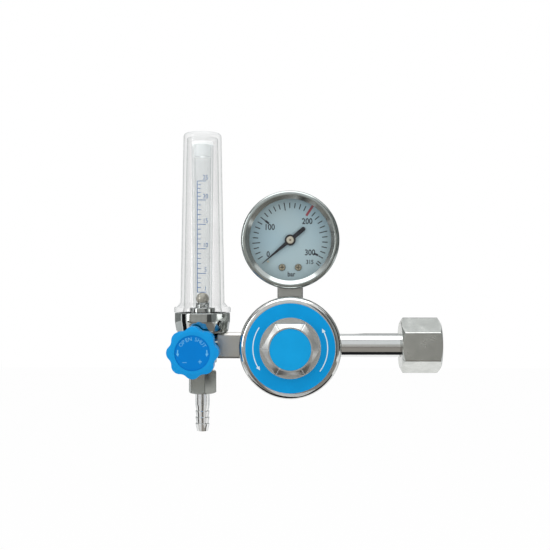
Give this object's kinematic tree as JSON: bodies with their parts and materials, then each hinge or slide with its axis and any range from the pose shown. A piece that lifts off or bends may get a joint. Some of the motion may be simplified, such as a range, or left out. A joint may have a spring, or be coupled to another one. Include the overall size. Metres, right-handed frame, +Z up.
{
  "type": "gas regulator",
  "caption": "Cylinder gas regulator with inlet nut, round pressure gauge, blue-labelled bonnet, clear flow tube under a cover, blue flow knob and hose barb.",
  "frame": {"origin": "on the inlet axis at the inner end of the inlet nut's thread", "axes": "+X along the inlet axis out of the nut, +Z up along the flow tube, front faces -Y"},
  "size_m": [0.1676, 0.0672, 0.1867],
  "materials": {
    "chrome": "polished chrome plate",
    "satin_chrome": "satin chrome plate",
    "brass": "machined",
    "steel": "bright",
    "spring_steel": "drawn wire",
    "clear_plastic": "clear",
    "blue_plastic": "semi-gloss moulded",
    "dark_blue_plastic": "semi-gloss moulded",
    "label": "satin film",
    "dial_white": "matt lacquer",
    "black": "matt lacquer",
    "rubber": "matt",
    "bronze": "sintered"
  },
  "bodies": {
    "regulator": {"adjusting_screw": "brass", "ball_stop": "clear_plastic", "bonnet": "chrome", "bourdon_tube": "brass", "cover_seal": "rubber", "dial_screws": "brass", "diaphragm": "rubber", "disc_label": "label", "flow_cover": "clear_plastic", "flow_head": "chrome", "flow_tube": "clear_plastic", "gauge_bezel": "chrome", "gauge_case": "satin_chrome", "gauge_dial": "dial_white", "gauge_lens": "clear_plastic", "gauge_socket": "satin_chrome", "gland_nut": "satin_chrome", "hose_barb": "brass", "inlet_filter": "bronze", "inlet_gasket": "rubber", "inlet_nipple": "chrome", "main_spring": "spring_steel", "movement_frame": "brass", "outlet_arm": "satin_chrome", "outlet_gasket": "rubber", "outlet_nut": "satin_chrome", "plug_washer": "rubber", "poppet_spring": "spring_steel", "regulator_body": "satin_chrome", "relief_cap": "satin_chrome", "relief_spring": "spring_steel", "relief_valve": "satin_chrome", "ring_label": "label", "slip_ring": "steel", "spring_button": "brass", "stop_pin": "brass", "tube_plug": "brass", "valve_nozzle": "brass", "valve_plug": "satin_chrome"},
    "inlet_nut_body": {"inlet_nut": "satin_chrome"},
    "ball": {"ball_float": "steel"},
    "stem_seal": {"stem_ring": "rubber"},
    "flow_control": {"needle_stem": "brass", "flow_knob": "blue_plastic", "knob_plate": "dark_blue_plastic", "knob_screw": "steel"},
    "pointer_group": {"gauge_pointer": "black", "pointer_cap": "brass", "gauge_arbor": "brass"},
    "sector": {"sector_gear": "brass"},
    "link": {"movement_link": "brass"},
    "diaphragm_group": {"diaphragm_plate": "brass"},
    "valve_poppet": {"poppet": "steel"},
    "relief": {"relief_ball": "steel"}
  },
  "joints": [
    {"name": "inlet_nut_spin", "type": "hinge", "parent": "regulator", "child": "inlet_nut_body", "pos_m": [0, 0, 0], "axis": [1, 0, 0], "continuous": true},
    {"name": "ball_rise", "type": "slide", "parent": "regulator", "child": "ball", "axis": [0, 0, 1], "range_m": [0, 0.085]},
    {"name": "needle_travel", "type": "slide", "parent": "regulator", "child": "stem_seal", "axis": [0, -1, 0], "range_m": [0, 0.0031]},
    {"name": "flow_knob_turn", "type": "hinge", "parent": "stem_seal", "child": "flow_control", "pos_m": [-0.1384, 0, -0.0026], "axis": [0, -1, 0], "range_deg": [0, 1080]},
    {"name": "pointer_turn", "type": "hinge", "parent": "regulator", "child": "pointer_group", "pos_m": [-0.08, 0, 0.0655], "axis": [0, 1, 0], "range_deg": [0, 266], "stiffness_Nm_per_rad": 0.0002},
    {"name": "sector_turn", "type": "hinge", "parent": "regulator", "child": "sector", "pos_m": [-0.07203, 0, 0.05653], "axis": [0, 1, 0], "range_deg": [-38.2, 0]},
    {"name": "link_turn", "type": "hinge", "parent": "sector", "child": "link", "pos_m": [-0.06973, 0, 0.05099], "axis": [0, 1, 0], "range_deg": [0, 42.28]},
    {"name": "diaphragm_lift", "type": "slide", "parent": "regulator", "child": "diaphragm_group", "axis": [0, -1, 0], "range_m": [0, 0.0008], "stiffness_N_per_m": 800, "deforming": ["main_spring", "diaphragm"]},
    {"name": "poppet_lift", "type": "slide", "parent": "regulator", "child": "valve_poppet", "axis": [0, -1, 0], "range_m": [0, 0.0008], "deforming": ["poppet_spring"]},
    {"name": "relief_lift", "type": "slide", "parent": "regulator", "child": "relief", "axis": [0, 1, 0], "range_m": [0, 0.001], "stiffness_N_per_m": 3, "deforming": ["relief_spring"]}
  ],
  "couplings": [
    {"joint": "needle_travel", "follows": "flow_knob_turn", "m_per_rad": 0.00015915},
    {"joint": "sector_turn", "follows": "pointer_turn", "ratio": -0.14286},
    {"joint": "link_turn", "follows": "pointer_turn", "ratio": 0.15819},
    {"joint": "poppet_lift", "follows": "diaphragm_lift", "ratio": 1}
  ]
}
